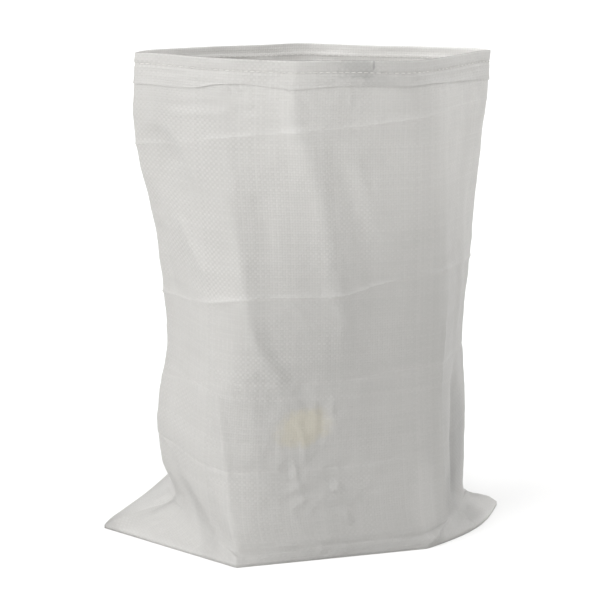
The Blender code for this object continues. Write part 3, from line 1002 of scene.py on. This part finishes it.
def bumpNode(tree, height, depth, strength, under=None):
    node = tree.nodes.new("ShaderNodeBump")
    node.inputs["Strength"].default_value = strength
    node.inputs["Distance"].default_value = depth
    tree.links.new(height, node.inputs["Height"])
    if under is not None:
        tree.links.new(under, node.inputs["Normal"])
    return node.outputs["Normal"]


clothLook = {
    "colour": (0.545, 0.537, 0.520),
    "shade": (0.455, 0.448, 0.433),
    "through": 0.26,                      # of the light passes through the cloth
    "roughness": (0.34, 0.50),
    "tape": 0.003175,                     # eight tapes to the inch
    "gap": 0.44,                          # of half a tape
    "dip": 3.0,                           # how steeply a tape goes down where it passes under
    "gapDepth": 0.5,
    "weaveDepth": 0.00030,
    "wrinkleDepth": 0.0007,
    "bumpStrength": 0.8,
    # Each noise: its scale, its detail and, if it isn't the usual one, its roughness
    "clouds": (11.0, 5.0, 0.6),
    "patches": (8.0, 2.0),
    "wrinkles": (95.0, 3.0, 0.6),
    "raggedness": (90.0, 4.0, 0.6),       # of the marks' edges
    "glossiness": (30.0, 3.0),
    "cloudShare": 0.8,                    # how far the clouds lead from the shade to the colour
    "tapeShare": 0.30,                    # and how far each tape's own tone does
    "patchRange": (0.44, 0.62, 0.02, 0.46),    # from and to in the noise, and the checker's share there
    # The checker, partly painted sheen of the tapes, shows most on the left of the front where the light
    # falls, on the back and high up: from, to, and share
    "checkerAndSheen": ((0.22, 0.36, 0.30), (0.54, 0.66, 0.60), (0.36, 0.56, 0.55)),
    "gapAndShadowColour": (0.36, 0.355, 0.345),    # between the tapes, and the painted shadow along the stitches
    "gapShare": 0.30,
    "wear": 0.05,                         # lighter along the storage creases
    # The lighter colour of worn creases and of the doubled hem, and the painted light inside the mouth
    "wearAndLightColour": (0.95, 0.94, 0.92),
    "hemWhiteAndInsideLight": (0.05, 0.62, 0.027),      # the doubled cloth looks whiter, outside and inside, down to here; inside, this also paints the light falling into the mouth
    "stitchShadow": (0.0145, 0.0016, 0.22), # painted shadow of the stitches' groove, darker along their line: depth, reach and share
    # Kinds of mark: how ragged, how soft, and colour; the grey kinds paint shade and the pale kind paints
    # light
    "kinds": {
        "grey": (0.25, 0.90, (0.14, 0.139, 0.136)),
        "evenGrey": (0.10, 0.90, (0.14, 0.139, 0.136)),
        "patchyGrey": (0.30, 0.90, (0.14, 0.139, 0.136)),
        "pale": (0.10, 0.90, (0.95, 0.94, 0.92)),
        "yellow": (1.10, 0.70, (0.475, 0.436, 0.325)),
        "smudge": (2.60, 0.80, (0.24, 0.24, 0.235)),
        "softSmudge": (2.60, 0.90, (0.24, 0.24, 0.235)),
        "spot": (0.30, 0.50, (0.20, 0.20, 0.195)),
    },
    # Each mark: its kind, its place round and down the cloth, its size, its lean and its share. The grey
    # marks are painted shade and the pale ones painted light; the yellow stain, the smudges and the spot are
    # the cloth's own
    "marksAndPaintedLight": {
        "greyBelow": ("grey", (0.345, 0.465), (0.190, 0.260), 0.0, 0.23),
        "greyMiddle": ("grey", (0.205, 0.320), (0.060, 0.110), 0.0, 0.04),
        "greySide": ("grey", (0.456, 0.512), (0.028, 0.072), 0.0, 0.27),
        "greyFoot": ("grey", (0.426, 0.562), (0.022, 0.040), 0.0, 0.20),
        "greyEdge": ("grey", (0.240, 0.610), (0.122, 0.010), 0.0, 0.12),
        "greyTop": ("grey", (0.310, 0.070), (0.090, 0.070), 0.0, 0.06),
        "greyTopLeft": ("grey", (0.080, 0.080), (0.070, 0.080), 0.0, 0.08),
        "greyHem": ("grey", (0.330, -0.018), (0.090, 0.030), 0.0, 0.10),
        "greyRoot": ("evenGrey", (0.075, 0.592), (0.015, 0.055), 0.67, 0.13),
        "greyEarTip": ("evenGrey", (0.000, 0.722), (0.020, 0.020), 0.0, 0.20),
        "greyEarTipBack": ("evenGrey", (1.000, 0.722), (0.020, 0.020), 0.0, 0.20),
        "greyRightEar": ("patchyGrey", (0.455, 0.629), (0.018, 0.016), 0.0, 0.10),
        "paleLeftEar": ("pale", (0.030, 0.655), (0.110, 0.060), 0.0, 0.06),
        "paleLeftEarBack": ("pale", (0.985, 0.630), (0.050, 0.050), 0.0, 0.20),
        "paleRightEar": ("pale", (0.487, 0.668), (0.050, 0.044), 0.0, 0.22),
        "paleLow": ("pale", (0.366, 0.560), (0.018, 0.050), 0.0, 0.07),
        "stain": ("yellow", (0.2140, 0.446), (0.028, 0.023), -0.3, 0.50),
        "hemSmudge": ("smudge", (0.278, -0.009), (0.022, 0.012), 0.0, 0.26),
        "hemSmudgeBelow": ("softSmudge", (0.305, -0.026), (0.024, 0.012), 0.0, 0.16),
        "hemSpot": ("spot", (0.2955, -0.005), (0.0014, 0.006), 0.0, 0.45),
    },
}


def tapeNodes(tree, flat, look):
    # Flat tapes woven over and under each other: which one is on top, the gaps between them,
    # the height, and each tape's own shade, the same along its length
    u = mathNode(tree, "DIVIDE", flat["X"], look["tape"])
    v = mathNode(tree, "DIVIDE", flat["Y"], look["tape"])
    column, row = mathNode(tree, "FLOOR", u), mathNode(tree, "FLOOR", v)
    over = mathNode(tree, "PINGPONG", mathNode(tree, "ADD", column, row), 1.0)
    besides = (mathNode(tree, "SUBTRACT", mathNode(tree, "FRACT", way), 0.5) for way in (u, v))
    alongU, alongV = (mathNode(tree, "ABSOLUTE", beside) for beside in besides)
    bend = mathNode(tree, "POWER", chooseNode(tree, over, alongV, alongU), 2.0)
    crown = mathNode(tree, "SUBTRACT", 1.0, mathNode(tree, "MULTIPLY", bend, look["dip"]))
    gap = mathNode(tree, "GREATER_THAN", chooseNode(tree, over, alongU, alongV), look["gap"])
    height = mathNode(tree, "SUBTRACT", crown, mathNode(tree, "MULTIPLY", gap, look["gapDepth"]))
    seat = tree.nodes.new("ShaderNodeCombineXYZ")
    tree.links.new(chooseNode(tree, over, column, row), seat.inputs["X"])
    tree.links.new(over, seat.inputs["Y"])
    shade = tree.nodes.new("ShaderNodeTexWhiteNoise")
    shade.noise_dimensions = "3D"
    tree.links.new(seat.outputs[0], shade.inputs["Vector"])
    return over, gap, height, shade.outputs["Value"]


def weaveColour(tree, flat, seat, over, tapeShade, look):
    # Clouds, the tapes' own shades, and a checker of the tapes on top that comes and goes: partly the weave,
    # partly painted sheen that is strongest where the light falls
    cloud = noiseNode(tree, seat, *look["clouds"])
    plain = mathNode(tree, "ADD", mathNode(tree, "MULTIPLY", cloud, look["cloudShare"]),
                     mathNode(tree, "MULTIPLY", tapeShade, look["tapeShare"]))
    patchy = fadeNode(tree, noiseNode(tree, seat, *look["patches"]), *look["patchRange"], smooth=False)
    front, back, low = look["checkerAndSheen"]
    frontShare = fadeNode(tree, flat["X"], front[0], front[1], 1.0, front[2])
    backShare = fadeNode(tree, flat["X"], back[0], back[1], 0.0, back[2])
    lowShare = fadeNode(tree, flat["Y"], low[0], low[1], 1.0, low[2])
    shown = mathNode(tree, "MULTIPLY", mathNode(tree, "ADD", frontShare, backShare), lowShare)
    # Partly painted sheen: the tapes on top are lighter or darker, as their glints would be
    checkerAndSheen = mathNode(tree, "MULTIPLY", mathNode(tree, "SUBTRACT", over, 0.5),
                       mathNode(tree, "MULTIPLY", patchy, shown))
    return blendColours(tree, mathNode(tree, "ADD", plain, checkerAndSheen), look["shade"], look["colour"])


def markShare(tree, flat, rough, place, size, lean, ragged, soft, share):
    # How much of a mark is at each place: all of it in the middle, none past its ragged edge
    across, down = (mathNode(tree, "SUBTRACT", flat[axis], middle) for axis, middle in zip("XY", place))
    leaning = mathNode(tree, "SUBTRACT", across, mathNode(tree, "MULTIPLY", down, lean))
    far = [mathNode(tree, "POWER", mathNode(tree, "DIVIDE", way, reach), 2.0)
           for way, reach in zip((leaning, down), size)]
    torn = mathNode(tree, "ADD", mathNode(tree, "SQRT", mathNode(tree, "ADD", *far)),
                    mathNode(tree, "MULTIPLY", rough, ragged))
    return fadeNode(tree, torn, 1 + soft / 2, 1 - soft / 2, 0.0, share)


def wornAndPaintedColour(tree, flat, seat, colour, look):
    # Over the weave: the worn creases, the whiter hem with painted light inside it, a painted shadow along
    # the stitches, grey areas of painted shade and pale areas of painted light, the yellow stain on the
    # front, and the smudges and the spot on the hem
    wear = tree.nodes.new("ShaderNodeAttribute")
    wear.attribute_name = "foldWear"
    worn = mathNode(tree, "MULTIPLY", wear.outputs["Fac"], look["wear"])
    colour = blendColours(tree, worn, colour, look["wearAndLightColour"])
    # The doubled hem is whiter; behind it, on the inside, the whitening also paints the light that falls into
    # the mouth
    outside, inside, depth = look["hemWhiteAndInsideLight"]
    onHem = mathNode(tree, "LESS_THAN", flat["Y"], 0.0)
    behindHem = mathNode(tree, "SUBTRACT", mathNode(tree, "LESS_THAN", flat["Y"], depth), onHem)
    whiter = mathNode(tree, "ADD", mathNode(tree, "MULTIPLY", onHem, outside),
                      mathNode(tree, "MULTIPLY", behindHem, inside))
    colour = blendColours(tree, whiter, colour, look["wearAndLightColour"])
    # A painted shadow along the groove of the stitches
    depth, reach, share = look["stitchShadow"]
    fromLine = mathNode(tree, "ABSOLUTE", mathNode(tree, "ADD", flat["Y"], depth))
    colour = blendColours(tree, fadeNode(tree, fromLine, reach, 0.0, 0.0, share), colour, look["gapAndShadowColour"])
    rough = mathNode(tree, "SUBTRACT", noiseNode(tree, seat, *look["raggedness"]), 0.5)
    # Grey marks paint shade in hollows, folds and low down, and pale marks paint light on the ears; the
    # stain, the smudges and the spot are real
    for kind, place, size, lean, share in look["marksAndPaintedLight"].values():
        ragged, soft, shade = look["kinds"][kind]
        marked = markShare(tree, flat, rough, place, size, lean, ragged, soft, share)
        colour = blendColours(tree, marked, colour, shade)
    return colour


def wovenMaterial(look):
    material = bpy.data.materials.new("wovenPolypropylene")
    material.use_nodes = True
    tree = material.node_tree
    shader = tree.nodes["Principled BSDF"]
    place = tree.nodes.new("ShaderNodeUVMap")
    place.uv_map = "flatCloth"
    split = tree.nodes.new("ShaderNodeSeparateXYZ")
    tree.links.new(place.outputs["UV"], split.inputs[0])
    flat = split.outputs
    seat = tree.nodes.new("ShaderNodeTexCoord").outputs["Object"]
    over, gap, height, tapeShade = tapeNodes(tree, flat, look)
    colour = weaveColour(tree, flat, seat, over, tapeShade, look)
    colour = wornAndPaintedColour(tree, flat, seat, colour, look)
    colour = blendColours(tree, mathNode(tree, "MULTIPLY", gap, look["gapShare"]), colour, look["gapAndShadowColour"])
    tree.links.new(colour, shader.inputs["Base Color"])
    gloss = noiseNode(tree, seat, *look["glossiness"])
    roughness = fadeNode(tree, gloss, 0.0, 1.0, *look["roughness"], smooth=False)
    tree.links.new(roughness, shader.inputs["Roughness"])
    wrinkle = noiseNode(tree, seat, *look["wrinkles"])
    wrinkled = bumpNode(tree, wrinkle, look["wrinkleDepth"], look["bumpStrength"])
    woven = bumpNode(tree, height, look["weaveDepth"], look["bumpStrength"], wrinkled)
    tree.links.new(woven, shader.inputs["Normal"])

    # Some light passes through
    through = tree.nodes.new("ShaderNodeBsdfTranslucent")
    tree.links.new(colour, through.inputs["Color"])
    both = tree.nodes.new("ShaderNodeMixShader")
    both.inputs["Fac"].default_value = look["through"]
    tree.links.new(shader.outputs["BSDF"], both.inputs[1])
    tree.links.new(through.outputs["BSDF"], both.inputs[2])
    tree.links.new(both.outputs["Shader"], tree.nodes["Material Output"].inputs["Surface"])
    return material


threadLook = {
    "colour": (0.62, 0.61, 0.585),
    "shade": (0.46, 0.45, 0.43),
    "roughness": 0.62,
    "twistScale": 71.43,
    "unevenness": 1.5,           # of the twist
    "fuzz": (900.0, 2.0),        # scale and detail
    "twistShare": 0.6,           # of the tone, and the rest is fuzz
    "depth": 0.00008,
    "bumpStrength": 1.0,
}


def threadMaterial(look):
    material = bpy.data.materials.new("sewingThread")
    material.use_nodes = True
    tree = material.node_tree
    shader = tree.nodes["Principled BSDF"]
    shader.inputs["Roughness"].default_value = look["roughness"]
    seat = tree.nodes.new("ShaderNodeTexCoord").outputs["Object"]
    twist = tree.nodes.new("ShaderNodeTexWave")
    twist.bands_direction = "DIAGONAL"
    twist.inputs["Scale"].default_value = look["twistScale"]
    twist.inputs["Distortion"].default_value = look["unevenness"]
    tree.links.new(seat, twist.inputs["Vector"])
    fuzz = noiseNode(tree, seat, *look["fuzz"])
    tone = mathNode(tree, "ADD", mathNode(tree, "MULTIPLY", twist.outputs["Fac"], look["twistShare"]),
                    mathNode(tree, "MULTIPLY", fuzz, 1 - look["twistShare"]))
    tree.links.new(blendColours(tree, tone, look["shade"], look["colour"]), shader.inputs["Base Color"])
    tree.links.new(bumpNode(tree, tone, look["depth"], look["bumpStrength"]), shader.inputs["Normal"])
    return material


# The floor, light from all round and the sun lamps
stageValues = {
    "floorSize": 30.0,
    "floorColour": (0.86, 0.86, 0.858),
    "floorRoughness": 0.9,
    "worldColour": (1.0, 1.0, 1.0),
    "worldStrength": 0.22,
    "sunHeight": 3.0,                     # of the lamps, which makes no difference to their light
    "suns": {                             # way towards the light, power, and spread in degrees
        "leftSun": ((-0.90, -0.20, 0.35), 2.62, 60.0),
        "frontSun": ((0.0, -0.80, 0.50), 1.40, 60.0),
        "rightSun": ((0.95, 0.10, 0.35), 1.85, 60.0),
        "backSun": ((0.10, 0.90, 0.45), 0.85, 60.0),
        "topSun": ((-0.20, -0.15, 1.0), 1.20, 60.0),
    },
}


def addSun(name, height, way, power, spread):
    bpy.ops.object.light_add(type="SUN", location=(0.0, 0.0, height))
    sun = bpy.context.object
    sun.name = name
    sun.data.energy = power
    sun.data.angle = radians(spread)
    sun.rotation_euler = Vector(way).to_track_quat("Z", "Y").to_euler()


def addStage(values):
    bpy.ops.mesh.primitive_plane_add(size=values["floorSize"])
    floor = bpy.context.object
    floor.name = "paleFloor"
    material = bpy.data.materials.new("paleFloor")
    material.use_nodes = True
    shader = material.node_tree.nodes["Principled BSDF"]
    shader.inputs["Base Color"].default_value = (*values["floorColour"], 1.0)
    shader.inputs["Roughness"].default_value = values["floorRoughness"]
    shader.inputs["Specular IOR Level"].default_value = 0.0
    floor.data.materials.append(material)
    world = bpy.data.worlds.new("softStudio")
    bpy.context.scene.world = world
    world.use_nodes = True
    background = world.node_tree.nodes["Background"]
    background.inputs["Color"].default_value = (*values["worldColour"], 1.0)
    background.inputs["Strength"].default_value = values["worldStrength"]
    for name, (way, power, spread) in values["suns"].items():
        addSun(name, values["sunHeight"], way, power, spread)
    bpy.context.scene.view_settings.view_transform = "Standard"


def settle(piece):
    # From the seam line's own origin to the part's
    takeOnly(piece)
    piece.location = Vector(piece.location) + Vector(shotValues["originShift"])
    bpy.ops.object.transform_apply(location=True, rotation=True, scale=True)


addCamera(shotValues)
addStage(stageValues)
print("camera, floor and light placed")

sack, tube = makeSack(sackValues)
print("sack laid:", len(sack.data.polygons), "faces")
strip = makeStrip(stripValues, sackValues)
print("bottom strip laid:", len(strip.data.polygons), "faces")
stitch = makeStitch(stitchValues)
mouthStitches = makeMouthStitches(stitch, tube, stitchValues, sackValues)
bottomStitches = makeBottomStitches(stitch, stitchValues, sackValues)
bpy.data.objects.remove(stitch)
print("stitches sewn:", len(mouthStitches.data.polygons) + len(bottomStitches.data.polygons), "faces")

cloth = wovenMaterial(clothLook)
thread = threadMaterial(threadLook)
for piece, material, slot, nodes in (
        (sack, cloth, "woven_cloth", ["woven_sack"]),
        (strip, cloth, "woven_cloth", ["woven_sack"]),
        (mouthStitches, thread, "sewing_thread", ["mouth_stitching"]),
        (bottomStitches, thread, "sewing_thread", ["bottom_stitching"])):
    piece.data.materials.clear()
    piece.data.materials.append(material)
    settle(piece)
    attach(piece, "root")
    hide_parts(*nodes)
print("materials given")
